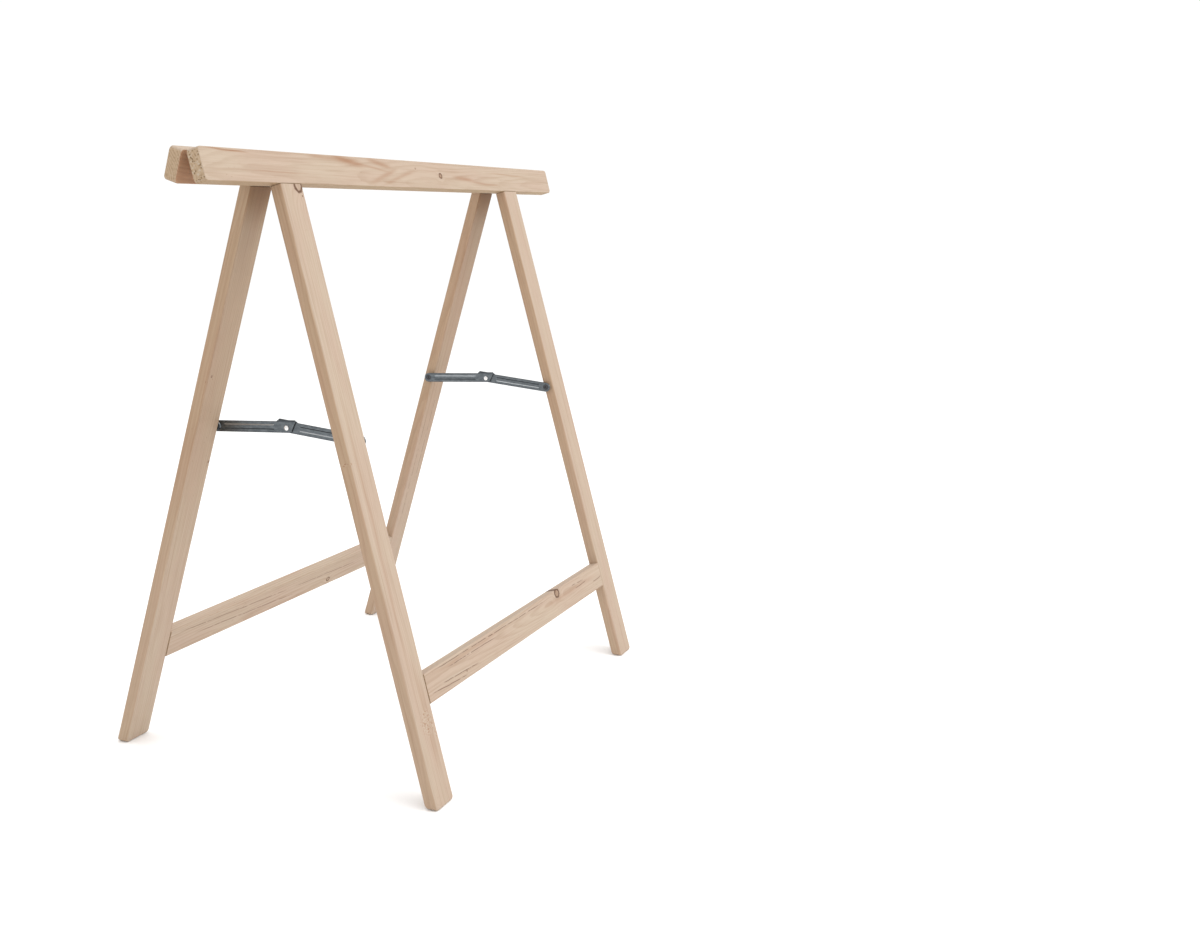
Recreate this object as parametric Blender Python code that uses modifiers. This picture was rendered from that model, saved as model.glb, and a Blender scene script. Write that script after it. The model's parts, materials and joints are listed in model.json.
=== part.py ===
"""A folding wooden sawhorse: two flat frames hinged along the ridge and held apart by two
folding steel stays. Metres, +Z up, origin on the floor under the middle of the ridge.
X runs along the rails; the front frame stands on the -Y side and the left end is at -X."""

import math

import bmesh
import bpy
from mathutils import Matrix, Vector

# Overall sizes
STAND_HEIGHT = 0.755  # floor to the outer top edges of the rails, which carry the load
RAIL_LENGTH = 0.870
FRAME_LEAN = math.radians(16.3)  # each open frame from the vertical

# Timber
BOARD_THICKNESS = 0.016
RAIL_HEIGHT = 0.037
LEG_WIDTH = 0.042
LEG_INSET = 0.150  # end of a rail to the middle of a leg, where the leg meets the rail
LEG_SPLAY = math.radians(1.0)  # each leg outwards, in the plane of its frame
STRETCHER_HEIGHT = 0.037
STRETCHER_DROP = 0.631  # hinge axis to the stretcher's upper edge, down the frame
EASED_EDGE = 0.0012

# Fits
FIT_GAP = 0.0003  # between pieces that touch
RUNNING_GAP = 0.0003  # between a stay and a leg that it folds past
BORE_RELIEF = 0.001  # a blind bore beyond the end of what is in it
JOIN_DEPTH = 0.0003  # how far shapes that are joined, or cut away, run into the main one
MERGE_DISTANCE = 1e-6  # points nearer to each other than this are one

# Dowels
DOWEL_RADIUS = 0.004
DOWEL_LENGTH = 0.040
DOWEL_CHAMFER = 0.0008
LEG_DOWEL_SPREAD = 0.020  # between the two dowels at the top of a leg
STRETCHER_DOWEL_SPREAD = 0.018

# Butt hinges between the rails
HINGE_TO_LEG = 0.095  # middle of a hinge to the middle of its leg, at the rail
HINGE_LENGTH = 0.060
KNUCKLE_COUNT = 5
BARREL_RADIUS = 0.0022
HINGE_PIN_RADIUS = 0.0010
PIN_HEAD_RADIUS = 0.0018
PIN_HEAD_HEIGHT = 0.0008
LEAF_THICKNESS = 0.0012
LEAF_HEIGHT = 0.030
LEAF_SCREW_SPREAD = 0.036
LEAF_SCREW_DROP = 0.017  # hinge axis to the screws, down the leaf
LEAF_SCREW = {"head": 0.0028, "sink": 0.0012, "shank": 0.0015, "length": 0.013, "tip": 0.003}

# Folding stays between the legs
STAY_DROP = 0.343  # hinge axis to the pivots on the legs, down the frame
PIVOT_INSET = 0.0050  # inner face of a leg to the pivot
KNUCKLE_RISE = 0.0065  # the rivet stands this far above the pivots when the stay is open
STAY_WIDTH = 0.014
STAY_PLATE = 0.0014
RIB_BASE = 0.0072
RIB_CREST = 0.0040
RIB_HEIGHT = 0.0012
RIB_START = 0.011  # pivot to the foot of the rib
RIB_STOP = 0.017  # end of the rib to the rivet
EAR_RISE = 0.0015
EAR_BACK = 0.0125  # rivet to where the ear starts
EAR_FRONT = 0.0145  # rivet to the tip of the ear
PLATE_CORNER = 0.0015  # radius of the plate's corners
END_SLANT = 0.0085  # the end of the plate leans in by this much at its lower corner
RIVET_DROP = 0.0010  # rivet below the middle line of a link
RIVET_HEAD_RADIUS = 0.0033
RIVET_HEAD_HEIGHT = 0.0011
RIVET_SHANK_RADIUS = 0.0020
BOSS_HEIGHT = 0.0012
BOSS_MARGIN = 0.0006  # foot of the boss to the edge of the link
SPACER_RADIUS = 0.0048
PIVOT_SCREW = {"head": 0.0040, "sink": 0.0022, "shank": 0.0020, "length": 0.030, "tip": 0.005}
HEAD_RIM = 0.15  # height of a screw head's rim, to the head's sink
RECESS_WIDTH = 0.22  # width of a screw's cross recess, to the head's radius
RECESS_REACH = 0.62  # reach of each arm of the recess, to the head's radius
RECESS_DEPTH = 0.55  # depth of the recess, to the head's sink

ROUND_STEPS = 16
SMALL_STEPS = 12
DOME_STEPS = 4
SMOOTH_ANGLE = math.radians(35)

FRONT, BACK = -1, 1
LEFT, RIGHT = -1, 1
SIDE_NAMES = {FRONT: "front", BACK: "back"}
END_NAMES = {LEFT: "left", RIGHT: "right"}

# Worked out from the sizes above. "Out" is measured across a frame from the plane of the
# hinge axis, and "down" along the frame from that axis.
INNER_FACE = BARREL_RADIUS + FIT_GAP
OUTER_FACE = INNER_FACE + BOARD_THICKNESS
BOARD_MIDDLE = INNER_FACE + BOARD_THICKNESS / 2
PIVOT_OUT = INNER_FACE + PIVOT_INSET
AXIS_HEIGHT = STAND_HEIGHT - OUTER_FACE * math.sin(FRAME_LEAN)
LEG_TOP = RAIL_HEIGHT + FIT_GAP
HINGE_OFFSET = RAIL_LENGTH / 2 - LEG_INSET - HINGE_TO_LEG  # from the middle
STRETCHER_BOTTOM = STRETCHER_DROP + STRETCHER_HEIGHT
LEAF_OUTER_FACE = INNER_FACE - FIT_GAP
LEAF_INNER_FACE = LEAF_OUTER_FACE - LEAF_THICKNESS
HALF_SPREAD = PIVOT_OUT * math.cos(FRAME_LEAN) + STAY_DROP * math.sin(FRAME_LEAN)
BOSS_RADIUS = STAY_WIDTH / 2 - BOSS_MARGIN - BOSS_HEIGHT  # at its crest
LINK_LENGTH = math.hypot(HALF_SPREAD, KNUCKLE_RISE)  # pivot to rivet
LINK_TILT = math.atan2(KNUCKLE_RISE, HALF_SPREAD) + math.asin(RIVET_DROP / LINK_LENGTH)
RIVET_ALONG = math.sqrt(LINK_LENGTH**2 - RIVET_DROP**2)
LINK_REACH = LINK_LENGTH + EAR_FRONT
STAY_STANDOFF = RIB_HEIGHT + RUNNING_GAP + LINK_REACH * math.tan(LEG_SPLAY)


def leg_middle(down):
    """Middle of the sawhorse to the middle of a leg, this far down the frame."""
    return RAIL_LENGTH / 2 - LEG_INSET + (down - RAIL_HEIGHT) * math.tan(LEG_SPLAY)


def floor_at(out):
    """How far down the frame the floor lies, this far out."""
    return (AXIS_HEIGHT + out * math.sin(FRAME_LEAN)) / math.cos(FRAME_LEAN)


def in_frame(side, x, out, down):
    """A point of a frame, in that frame's own coordinates."""
    return Vector((x, side * out, -down))


def clear_scene():
    for obj in list(bpy.data.objects):
        bpy.data.objects.remove(obj)


def new_collection(name):
    collection = bpy.data.collections.new(name)
    bpy.context.scene.collection.children.link(collection)
    return collection


def new_material(name, colour, roughness, metallic):
    material = bpy.data.materials.new(name)
    material.use_nodes = True
    shader = material.node_tree.nodes["Principled BSDF"]
    shader.inputs["Base Color"].default_value = (*colour, 1.0)
    shader.inputs["Roughness"].default_value = roughness
    shader.inputs["Metallic"].default_value = metallic
    return material


clear_scene()
PARTS = new_collection("folding_sawhorse")
CUTTERS = new_collection("cutters")
PINE = new_material("pine", (0.62, 0.45, 0.30), 0.65, 0.0)
BEECH = new_material("beech_dowel", (0.58, 0.38, 0.22), 0.60, 0.0)
HINGE_STEEL = new_material("hinge_steel", (0.55, 0.55, 0.54), 0.35, 1.0)
STAY_STEEL = new_material("stay_steel", (0.20, 0.22, 0.24), 0.42, 1.0)
RIVET_STEEL = new_material("rivet_steel", (0.80, 0.79, 0.77), 0.25, 1.0)
SCREW_STEEL = new_material("screw_steel", (0.30, 0.30, 0.31), 0.38, 1.0)


def add_part(name, mesh, material, parent, matrix=None):
    """A visible piece that shows this mesh. Each piece keeps one material."""
    part = bpy.data.objects.new(name, mesh)
    if not mesh.materials:
        mesh.materials.append(material)
    PARTS.objects.link(part)
    part.parent = parent
    if matrix is not None:
        part.matrix_basis = matrix
    return part


def add_cutter(name, mesh, parent=None, matrix=None):
    cutter = bpy.data.objects.new(name, mesh)
    CUTTERS.objects.link(cutter)
    cutter.hide_render = True
    cutter.display_type = "WIRE"
    cutter.parent = parent
    if matrix is not None:
        cutter.matrix_basis = matrix
    return cutter


def use_boolean(part, operand, operation):
    modifier = part.modifiers.new(f"{operation.lower()}_{operand.name}", "BOOLEAN")
    modifier.operation = operation
    modifier.solver = "EXACT"
    modifier.object = operand


def ease_edges(part, width, segments=2):
    bevel = part.modifiers.new("eased_edges", "BEVEL")
    bevel.width = width
    bevel.segments = segments
    bevel.limit_method = "ANGLE"
    bevel.angle_limit = SMOOTH_ANGLE


def mesh_of(bm, name):
    bmesh.ops.recalc_face_normals(bm, faces=bm.faces)
    mesh = bpy.data.meshes.new(name)
    bm.to_mesh(mesh)
    bm.free()
    return mesh


def smooth(mesh):
    mesh.shade_smooth()
    mesh.set_sharp_from_angle(angle=SMOOTH_ANGLE)
    return mesh


def add_turned(bm, start, direction, profile, steps=ROUND_STEPS):
    """A closed solid of rings, each (distance from start along the direction, radius)."""
    turn = direction.to_track_quat("Z", "Y")
    rings = []
    for along, radius in profile:
        angles = (2 * math.pi * step / steps for step in range(steps))
        places = (Vector((radius * math.cos(a), radius * math.sin(a), along)) for a in angles)
        rings.append([bm.verts.new(start + turn @ place) for place in places])
    bm.faces.new(rings[0])
    bm.faces.new(rings[-1])
    for low, high in zip(rings, rings[1:]):
        for i in range(steps):
            j = (i + 1) % steps
            bm.faces.new((low[i], low[j], high[j], high[i]))


def add_rod(bm, start, end, radius, steps=SMALL_STEPS):
    axis = end - start
    add_turned(bm, start, axis, [(0, radius), (axis.length, radius)], steps)


def shaped_cube(name, corner):
    """A cube whose corner at signs (i, j, k) is moved to corner(i, j, k)."""
    bm = bmesh.new()
    bmesh.ops.create_cube(bm, size=2.0)
    for vert in bm.verts:
        vert.co = corner(*(round(sign) for sign in vert.co))
    return mesh_of(bm, name)


def finished_mesh(obj, name):
    """The mesh that an object's modifiers make, with the object taken away."""
    bpy.context.view_layer.update()
    graph = bpy.context.evaluated_depsgraph_get()
    mesh = bpy.data.meshes.new_from_object(obj.evaluated_get(graph))
    mesh.name = name
    bpy.data.objects.remove(obj)
    return mesh


def turned_object(name, profile, closed=False, steps=ROUND_STEPS):
    """A profile of (radius, height) points, run down its outer side, turned about Z."""
    mesh = bpy.data.meshes.new(name)
    edges = [(i, i + 1) for i in range(len(profile) - 1)]
    if closed:
        edges.append((len(profile) - 1, 0))
    mesh.from_pydata([(radius, 0.0, height) for radius, height in profile], edges, [])
    turned = add_cutter(name, mesh)
    screw = turned.modifiers.new("turn", "SCREW")
    screw.steps = steps
    screw.render_steps = steps
    screw.use_merge_vertices = True
    screw.merge_threshold = MERGE_DISTANCE
    return turned


def turned_mesh(name, profile, closed=False, steps=ROUND_STEPS):
    return smooth(finished_mesh(turned_object(name, profile, closed, steps), name))


def dowel_mesh():
    half = DOWEL_LENGTH / 2
    rim = DOWEL_RADIUS - DOWEL_CHAMFER
    shoulder = half - DOWEL_CHAMFER
    profile = [(0, half), (rim, half), (DOWEL_RADIUS, shoulder)]
    profile += [(DOWEL_RADIUS, -shoulder), (rim, -half), (0, -half)]
    return turned_mesh("dowel", profile, steps=SMALL_STEPS)


def screw_mesh(name, size):
    """A countersunk wood screw, its head's flat face at z = 0 and its tip below."""
    rim = size["sink"] * HEAD_RIM
    profile = [
        (0, 0),
        (size["head"], 0),
        (size["head"], -rim),
        (size["shank"], -size["sink"]),
        (size["shank"], size["tip"] - size["length"]),
        (0, -size["length"]),
    ]
    screw = turned_object(name, profile)
    reach = size["head"] * RECESS_REACH
    width = size["head"] * RECESS_WIDTH / 2
    depth = size["sink"] * RECESS_DEPTH
    slots = []
    for across, along in ((width, reach), (reach, width)):
        bm = bmesh.new()
        shape = Matrix.Diagonal((2 * across, 2 * along, 2 * depth, 1.0))
        bmesh.ops.create_cube(bm, size=1.0, matrix=shape)
        slots.append(add_cutter(f"{name}_slot", mesh_of(bm, f"{name}_slot")))
        use_boolean(screw, slots[-1], "DIFFERENCE")
    mesh = smooth(finished_mesh(screw, name))
    for slot in slots:
        bpy.data.objects.remove(slot)
    return mesh


def spacer_mesh(name, thickness):
    bore = PIVOT_SCREW["shank"] + FIT_GAP
    half = thickness / 2
    profile = [(SPACER_RADIUS, half), (SPACER_RADIUS, -half), (bore, -half), (bore, half)]
    return turned_mesh(name, profile, closed=True)


def rivet_mesh():
    """Half of the knuckle's rivet: a domed head outside its link's plate, and its shank."""
    seat = STAY_PLATE + FIT_GAP
    dome = []
    for step in range(DOME_STEPS + 1):
        angle = math.pi / 2 * (1 - step / DOME_STEPS)
        rise = RIVET_HEAD_HEIGHT * math.sin(angle)
        dome.append((RIVET_HEAD_RADIUS * math.cos(angle), seat + rise))
    dome[0] = (0, seat + RIVET_HEAD_HEIGHT)
    profile = dome + [(RIVET_SHANK_RADIUS, seat), (RIVET_SHANK_RADIUS, 0), (0, 0)]
    return turned_mesh("rivet_half", profile)


def hinge_pin_mesh():
    """A straight pin along Z with a flattened head at each end of the barrel."""
    half = HINGE_LENGTH / 2 + FIT_GAP
    end = half + PIN_HEAD_HEIGHT
    profile = [(0, end), (PIN_HEAD_RADIUS, end), (PIN_HEAD_RADIUS, half)]
    profile += [(HINGE_PIN_RADIUS, half), (HINGE_PIN_RADIUS, -half)]
    profile += [(PIN_HEAD_RADIUS, -half), (PIN_HEAD_RADIUS, -end), (0, -end)]
    return turned_mesh("hinge_pin", profile, steps=SMALL_STEPS)


def frame_pivot(side):
    """The empty that carries a frame, on the hinge axis, leaning with the frame."""
    pivot = bpy.data.objects.new(f"{SIDE_NAMES[side]}_frame_pivot", None)
    PARTS.objects.link(pivot)
    pivot.location = (0, 0, AXIS_HEIGHT)
    pivot.rotation_euler = (side * FRAME_LEAN, 0, 0)
    return pivot


def leg_dowel_places(side, end):
    """Middle points of the dowels that join a leg to its rail; they run down the frame."""
    middle = leg_middle(RAIL_HEIGHT)
    offsets = (-LEG_DOWEL_SPREAD / 2, LEG_DOWEL_SPREAD / 2)
    joint = RAIL_HEIGHT + FIT_GAP / 2
    return [in_frame(side, end * (middle + offset), BOARD_MIDDLE, joint) for offset in offsets]


def stretcher_dowel_places(side, end):
    """Middle points of the dowels that join a stretcher to a leg; they run along X."""
    middle = STRETCHER_DROP + STRETCHER_HEIGHT / 2
    places = []
    for offset in (-STRETCHER_DOWEL_SPREAD / 2, STRETCHER_DOWEL_SPREAD / 2):
        down = middle + offset
        joint = leg_middle(down) - LEG_WIDTH / 2 - FIT_GAP / 2
        places.append(in_frame(side, end * joint, BOARD_MIDDLE, down))
    return places


def leaf_screw_places(side, end):
    """Where the heads of a hinge leaf's screws lie."""
    offsets = (-LEAF_SCREW_SPREAD / 2, LEAF_SCREW_SPREAD / 2)
    middle = end * HINGE_OFFSET
    return [in_frame(side, middle + offset, LEAF_INNER_FACE, LEAF_SCREW_DROP) for offset in offsets]


def add_dowel_bores(bm, places, axis):
    reach = axis * (DOWEL_LENGTH / 2 + BORE_RELIEF)
    for place in places:
        add_rod(bm, place - reach, place + reach, DOWEL_RADIUS + FIT_GAP)


def cut_rods(part, bm, what="bores"):
    """Cuts the rods in bm, which are given in the frame's coordinates, out of the part."""
    name = f"{part.name}_{what}"
    cutter = add_cutter(name, mesh_of(bm, name), part.parent)
    use_boolean(part, cutter, "DIFFERENCE")


def make_rail(side, pivot):
    def corner(i, j, k):
        out = OUTER_FACE if j > 0 else INNER_FACE
        return in_frame(side, i * RAIL_LENGTH / 2, out, RAIL_HEIGHT if k > 0 else 0)

    name = f"{SIDE_NAMES[side]}_top_rail"
    rail = add_part(name, shaped_cube(name, corner), PINE, pivot)
    ease_edges(rail, EASED_EDGE)
    bores = bmesh.new()
    for end in (LEFT, RIGHT):
        add_dowel_bores(bores, leg_dowel_places(side, end), Vector((0, 0, 1)))
        for head in leaf_screw_places(side, end):
            depth = Vector((0, side * (LEAF_SCREW["length"] + BORE_RELIEF), 0))
            add_rod(bores, head, head + depth, LEAF_SCREW["shank"] + FIT_GAP)
    cut_rods(rail, bores)


def make_leg(side, end, pivot):
    def corner(i, j, k):
        out = OUTER_FACE if j > 0 else INNER_FACE
        down = floor_at(out) if k > 0 else LEG_TOP
        return in_frame(side, end * (leg_middle(down) + i * LEG_WIDTH / 2), out, down)

    name = f"{SIDE_NAMES[side]}_{END_NAMES[end]}_leg"
    leg = add_part(name, shaped_cube(name, corner), PINE, pivot)
    ease_edges(leg, EASED_EDGE)
    bores = bmesh.new()
    add_dowel_bores(bores, leg_dowel_places(side, end), Vector((0, 0, 1)))
    add_dowel_bores(bores, stretcher_dowel_places(side, end), Vector((1, 0, 0)))
    head = pivot_screw_head(side, end)
    depth = Vector((end * (PIVOT_SCREW["length"] + BORE_RELIEF), 0, 0))
    add_rod(bores, head, head + depth, PIVOT_SCREW["shank"] + FIT_GAP)
    cut_rods(leg, bores)


def make_stretcher(side, pivot):
    def corner(i, j, k):
        out = OUTER_FACE if j > 0 else INNER_FACE
        down = STRETCHER_BOTTOM if k > 0 else STRETCHER_DROP
        return in_frame(side, i * (leg_middle(down) - LEG_WIDTH / 2 - FIT_GAP), out, down)

    name = f"{SIDE_NAMES[side]}_stretcher"
    stretcher = add_part(name, shaped_cube(name, corner), PINE, pivot)
    ease_edges(stretcher, EASED_EDGE)
    bores = bmesh.new()
    for end in (LEFT, RIGHT):
        add_dowel_bores(bores, stretcher_dowel_places(side, end), Vector((1, 0, 0)))
    cut_rods(stretcher, bores)


def make_dowels(side, end, mesh, pivot):
    where = f"{SIDE_NAMES[side]}_{END_NAMES[end]}"
    for number, place in enumerate(leg_dowel_places(side, end), 1):
        add_part(f"{where}_rail_dowel_{number}", mesh, BEECH, pivot, Matrix.Translation(place))
    along_x = Matrix.Rotation(math.pi / 2, 4, "Y")
    for number, place in enumerate(stretcher_dowel_places(side, end), 1):
        placed = Matrix.Translation(place) @ along_x
        add_part(f"{where}_stretcher_dowel_{number}", mesh, BEECH, pivot, placed)


def knuckle_spans(side):
    """(start, end) along X of the barrel's knuckles that belong to this side's leaf."""
    pitch = HINGE_LENGTH / KNUCKLE_COUNT
    first = 0 if side == BACK else 1
    low = -HINGE_LENGTH / 2
    return [(low + i * pitch, low + (i + 1) * pitch) for i in range(first, KNUCKLE_COUNT, 2)]


def make_hinge_leaf(side, end, pivot):
    """A leaf with its knuckles round the hinge axis, notched for the other leaf's."""
    name = f"{END_NAMES[end]}_hinge_{SIDE_NAMES[side]}_leaf"
    middle = end * HINGE_OFFSET

    def corner(i, j, k):
        out = LEAF_OUTER_FACE if j > 0 else LEAF_INNER_FACE
        x = middle + i * (HINGE_LENGTH / 2 - FIT_GAP / 2)
        return in_frame(side, x, out, LEAF_HEIGHT if k > 0 else 0)

    leaf = add_part(name, shaped_cube(name, corner), HINGE_STEEL, pivot)
    notches = bmesh.new()
    for low, high in knuckle_spans(-side):
        start = Vector((middle + low - FIT_GAP / 2, 0, 0))
        stop = Vector((middle + high + FIT_GAP / 2, 0, 0))
        add_rod(notches, start, stop, BARREL_RADIUS + FIT_GAP, ROUND_STEPS)
    cut_rods(leaf, notches, "notches")
    knuckles = bmesh.new()
    for low, high in knuckle_spans(side):
        start = Vector((middle + low + FIT_GAP / 2, 0, 0))
        stop = Vector((middle + high - FIT_GAP / 2, 0, 0))
        add_rod(knuckles, start, stop, BARREL_RADIUS, ROUND_STEPS)
    knuckles_object = add_cutter(f"{name}_knuckles", mesh_of(knuckles, f"{name}_knuckles"), pivot)
    use_boolean(leaf, knuckles_object, "UNION")
    holes = bmesh.new()
    past_end = Vector((HINGE_LENGTH / 2 + BORE_RELIEF, 0, 0))
    centre = Vector((middle, 0, 0))
    add_rod(holes, centre - past_end, centre + past_end, HINGE_PIN_RADIUS + FIT_GAP)
    for head in leaf_screw_places(side, end):
        add_countersink(holes, head, Vector((0, side, 0)), LEAF_SCREW, LEAF_THICKNESS)
    cut_rods(leaf, holes, "holes")


def add_countersink(bm, head, direction, size, thickness):
    """A countersunk hole for a screw whose head's face is at this point."""
    mouth = size["head"] + FIT_GAP
    throat = size["shank"] + FIT_GAP
    profile = [
        (-BORE_RELIEF, mouth),
        (size["sink"] * HEAD_RIM, mouth),
        (size["sink"] + FIT_GAP, throat),
        (thickness + BORE_RELIEF, throat),
    ]
    add_turned(bm, head, direction, profile)


def make_hinge(end, pivots, pin, screw):
    for side in (FRONT, BACK):
        make_hinge_leaf(side, end, pivots[side])
        into_rail = Vector((0, -side, 0)).to_track_quat("Z", "Y").to_matrix().to_4x4()
        for number, place in enumerate(leaf_screw_places(side, end), 1):
            name = f"{END_NAMES[end]}_hinge_{SIDE_NAMES[side]}_screw_{number}"
            placed = Matrix.Translation(place) @ into_rail
            add_part(name, screw, SCREW_STEEL, pivots[side], placed)
    placed = Matrix.Translation((end * HINGE_OFFSET, 0, 0)) @ Matrix.Rotation(math.pi / 2, 4, "Y")
    add_part(f"{END_NAMES[end]}_hinge_pin", pin, HINGE_STEEL, pivots[BACK], placed)


def is_inner_link(side, end):
    """Whether this link lies next to its leg; the other one lies past it. The back links
    are on the -X side of both stays, so the two stays are one product turned round."""
    return side == -end


def plate_face(side, end):
    """Distance from a leg's side face to the face of a link's plate that looks at it."""
    inner = STAY_STANDOFF
    return inner if is_inner_link(side, end) else inner + STAY_PLATE + FIT_GAP


def leg_face(end):
    """X of a leg's side face, which looks at the middle, at the height of the stays."""
    return end * (leg_middle(STAY_DROP) - LEG_WIDTH / 2)


def link_origin(side, end):
    """On the pivot's axis, in the face of the plate that looks at the other link."""
    clear = STAY_STANDOFF + STAY_PLATE + (0 if is_inner_link(side, end) else FIT_GAP)
    return in_frame(side, leg_face(end) - end * clear, PIVOT_OUT, STAY_DROP)


def pivot_screw_head(side, end):
    """Where the head of a stay's screw lies, flush with the link's plate."""
    clear = plate_face(side, end) + STAY_PLATE
    return in_frame(side, leg_face(end) - end * clear, PIVOT_OUT, STAY_DROP)


def link_matrix(side, end):
    """X along the link to the knuckle, Y up across it, Z away from the other link."""
    angle = LINK_TILT + FRAME_LEAN
    along = Vector((0, -side * math.cos(angle), math.sin(angle)))
    across = Vector((0, side * math.sin(angle), math.cos(angle)))
    columns = Matrix((along, across, Vector((-side, 0, 0)))).transposed().to_4x4()
    return Matrix.Translation(link_origin(side, end)) @ columns


def arc(centre, radius, start, stop, steps):
    """Points of an arc about a centre, angles in radians."""
    angles = (start + (stop - start) * step / steps for step in range(steps + 1))
    return [centre + radius * Vector((math.cos(angle), math.sin(angle))) for angle in angles]


def rounded_corner(before, corner, after, radius, steps=4):
    """The arc that rounds off a corner of an outline that runs anticlockwise."""
    back = (before - corner).normalized()
    ahead = (after - corner).normalized()
    half = back.angle(ahead) / 2
    centre = corner + (back + ahead).normalized() * (radius / math.sin(half))
    start = corner + back * (radius / math.tan(half)) - centre
    turn = math.pi - 2 * half
    first = math.atan2(start.y, start.x)
    return arc(centre, radius, first, first + turn, steps)


def link_outline():
    """Round at the pivot, straight along the arm, and an eared plate round the rivet."""
    half = STAY_WIDTH / 2
    top = half + EAR_RISE
    tip = RIVET_ALONG + EAR_FRONT
    ear = RIVET_ALONG - EAR_BACK
    lower = Vector((tip - END_SLANT, -half))
    upper = Vector((tip, top))
    rise = Vector((ear, top))
    points = arc(Vector((0, 0)), half, math.pi / 2, 3 * math.pi / 2, ROUND_STEPS // 2)
    foot = Vector((ear - EAR_RISE, half))
    points += rounded_corner(points[-1], lower, upper, PLATE_CORNER)
    points += rounded_corner(lower, upper, rise, PLATE_CORNER)
    points += rounded_corner(upper, rise, foot, PLATE_CORNER / 2, 2)
    points.append(foot)
    return points


def plate_mesh(name, points, thickness):
    """A flat outline given a thickness, from z = 0 upwards, as one closed mesh."""
    curve = bpy.data.curves.new(name, "CURVE")
    curve.dimensions = "2D"
    curve.fill_mode = "BOTH"
    curve.extrude = thickness / 2
    spline = curve.splines.new("POLY")
    spline.points.add(len(points) - 1)
    for point, place in zip(spline.points, points):
        point.co = (place.x, place.y, 0, 1)
    spline.use_cyclic_u = True
    outline = bpy.data.objects.new(name, curve)
    CUTTERS.objects.link(outline)
    mesh = finished_mesh(outline, name)
    bm = bmesh.new()
    bm.from_mesh(mesh)
    bmesh.ops.remove_doubles(bm, verts=bm.verts, dist=MERGE_DISTANCE)
    bmesh.ops.translate(bm, verts=bm.verts, vec=(0, 0, thickness / 2))
    bpy.data.meshes.remove(mesh)
    return mesh_of(bm, name)


def rib_mesh(name, base):
    """A bar with sloping sides that stands on z = base: the pressed rib, or its hollow."""
    start = RIB_START
    stop = RIVET_ALONG - RIB_STOP
    slope = (RIB_BASE - RIB_CREST) / 2

    def corner(i, j, k):
        pulled_in = slope if k > 0 else 0
        x = stop - pulled_in if i > 0 else start + pulled_in
        return Vector((x, j * (RIB_BASE / 2 - pulled_in), base + (RIB_HEIGHT if k > 0 else 0)))

    return shaped_cube(name, corner)


def make_link(side, end, pivot):
    """A pressed link: its plate, the rib, a boss towards the leg and the two holes."""
    name = f"{END_NAMES[end]}_stay_{SIDE_NAMES[side]}_link"
    placed = link_matrix(side, end)
    link = add_part(name, plate_mesh(name, link_outline(), STAY_PLATE), STAY_STEEL, pivot, placed)
    for what, base, operation in (
        ("rib", STAY_PLATE - JOIN_DEPTH, "UNION"),
        ("hollow", -JOIN_DEPTH, "DIFFERENCE"),
    ):
        shape = add_cutter(f"{name}_{what}", rib_mesh(f"{name}_{what}", base), pivot, placed)
        use_boolean(link, shape, operation)
    outward = Vector((0, 0, 1)) if is_inner_link(side, end) else Vector((0, 0, -1))
    far_face = STAY_PLATE if is_inner_link(side, end) else 0.0
    foot = Vector((0, 0, far_face)) - outward * JOIN_DEPTH
    bm = bmesh.new()
    sides = [(0, BOSS_RADIUS + BOSS_HEIGHT), (JOIN_DEPTH + BOSS_HEIGHT, BOSS_RADIUS)]
    add_turned(bm, foot, outward, sides)
    boss = add_cutter(f"{name}_boss", mesh_of(bm, f"{name}_boss"), pivot, placed)
    use_boolean(link, boss, "UNION")
    holes = bmesh.new()
    head = Vector((0, 0, far_face)) - outward * STAY_PLATE
    add_countersink(holes, head, outward, PIVOT_SCREW, STAY_PLATE + BOSS_HEIGHT)
    rivet = Vector((RIVET_ALONG, -RIVET_DROP, 0))
    through = Vector((0, 0, STAY_PLATE + BORE_RELIEF))
    bottom = Vector((0, 0, -BORE_RELIEF))
    add_rod(holes, rivet + bottom, rivet + through, RIVET_SHANK_RADIUS + FIT_GAP)
    cutter = add_cutter(f"{name}_holes", mesh_of(holes, f"{name}_holes"), pivot, placed)
    use_boolean(link, cutter, "DIFFERENCE")


def make_stay(end, pivots, rivet, screw):
    for side in (FRONT, BACK):
        make_link(side, end, pivots[side])
        stay = f"{END_NAMES[end]}_stay_{SIDE_NAMES[side]}"
        at_rivet = Matrix.Translation((RIVET_ALONG, -RIVET_DROP, 0))
        placed = link_matrix(side, end) @ at_rivet
        add_part(f"{stay}_rivet_half", rivet, RIVET_STEEL, pivots[side], placed)
        head_up = Vector((-end, 0, 0)).to_track_quat("Z", "Y").to_matrix().to_4x4()
        placed = Matrix.Translation(pivot_screw_head(side, end)) @ head_up
        add_part(f"{stay}_pivot_screw", screw, SCREW_STEEL, pivots[side], placed)
        thickness = plate_face(side, end) - BOSS_HEIGHT - 2 * FIT_GAP
        middle = leg_face(end) - end * (FIT_GAP + thickness / 2)
        place = in_frame(side, middle, PIVOT_OUT, STAY_DROP)
        mesh = spacer_mesh(f"{stay}_spacer", thickness)
        placed = Matrix.Translation(place) @ head_up
        add_part(f"{stay}_spacer", mesh, HINGE_STEEL, pivots[side], placed)


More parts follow.
